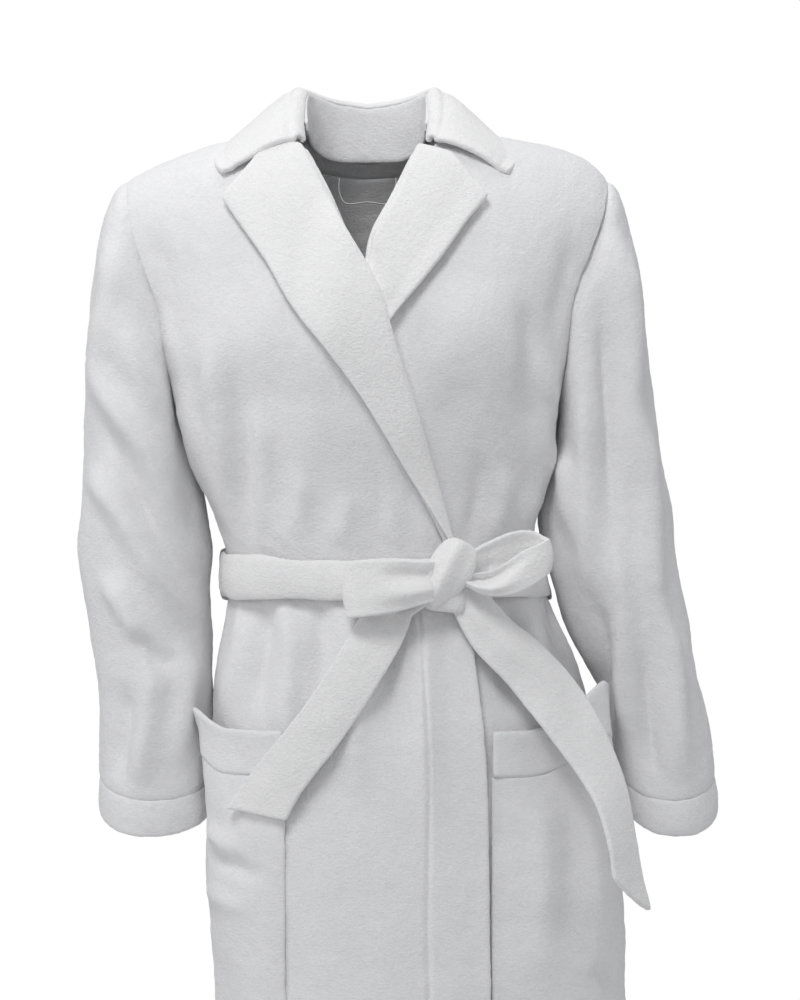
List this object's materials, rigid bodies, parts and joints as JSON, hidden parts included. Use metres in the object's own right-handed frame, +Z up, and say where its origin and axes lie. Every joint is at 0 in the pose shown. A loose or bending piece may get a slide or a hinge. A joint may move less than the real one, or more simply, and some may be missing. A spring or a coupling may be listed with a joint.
{
  "type": "bathrobe",
  "caption": "Knee-length plush bathrobe with a notched collar, set-in long sleeves, patch pockets and a tie belt knotted in a bow.",
  "frame": {"origin": "on the centre line between the shoulders, at the height of the shoulder points, where shoulders or a hanger carry the robe", "axes": "+Z up, -Y out of the front, +X to the wearer's left"},
  "size_m": [0.58, 0.318, 1.2329],
  "materials": {
    "plush": "short sheared plush, nap running down",
    "fluffy_plush": "fluffy face side of the same plush",
    "ribbon": "woven cotton tape"
  },
  "bodies": {
    "garment": {"back_panel": "plush", "right_front_panel": "plush", "left_front_panel": "plush", "right_front_facing": "plush", "left_front_facing": "plush", "right_lapel": "fluffy_plush", "left_lapel": "fluffy_plush", "collar_leaf": "fluffy_plush", "collar_stand": "plush", "back_neck_facing": "plush", "right_pocket": "plush", "right_pocket_band": "plush", "left_pocket": "plush", "left_pocket_band": "plush", "belt_band": "fluffy_plush", "belt_knot": "fluffy_plush", "right_belt_carrier": "plush", "left_belt_carrier": "plush"},
    "right_sleeve_body": {"right_sleeve": "plush", "right_cuff_hem": "plush"},
    "left_sleeve_body": {"left_sleeve": "plush", "left_cuff_hem": "plush"},
    "right_tail_body": {"belt_right_tail": "fluffy_plush"},
    "left_tail_body": {"belt_left_tail": "fluffy_plush"},
    "right_loop_body": {"belt_right_bow_loop": "fluffy_plush"},
    "left_loop_body": {"belt_left_bow_loop": "fluffy_plush"},
    "hanging_loop_body": {"hanging_loop": "ribbon"}
  },
  "joints": [
    {"name": "right_sleeve_swing", "type": "hinge", "parent": "garment", "child": "right_sleeve_body", "pos_m": [-0.2285, 0, 0.003], "axis": [0, 1, 0], "range_deg": [0, 45]},
    {"name": "left_sleeve_swing", "type": "hinge", "parent": "garment", "child": "left_sleeve_body", "pos_m": [0.2285, 0, 0.003], "axis": [0, -1, 0], "range_deg": [0, 45]},
    {"name": "right_tail_lift", "type": "hinge", "parent": "garment", "child": "right_tail_body", "pos_m": [0.03, -0.13573, -0.413], "axis": [-1, 0, 0], "range_deg": [0, 60]},
    {"name": "left_tail_lift", "type": "hinge", "parent": "garment", "child": "left_tail_body", "pos_m": [0.117, -0.12443, -0.413], "axis": [-1, 0, 0], "range_deg": [0, 60]},
    {"name": "right_loop_lift", "type": "hinge", "parent": "garment", "child": "right_loop_body", "pos_m": [0.052, -0.1439, -0.372], "axis": [0, 1, 0], "range_deg": [0, 20]},
    {"name": "left_loop_lift", "type": "hinge", "parent": "garment", "child": "left_loop_body", "pos_m": [0.1225, -0.1235, -0.368], "axis": [0, -1, 0], "range_deg": [0, 20]},
    {"name": "hanging_loop_flip", "type": "hinge", "parent": "garment", "child": "hanging_loop_body", "pos_m": [0, 0.042, 0.012], "axis": [-1, 0, 0], "range_deg": [0, 150]}
  ]
}
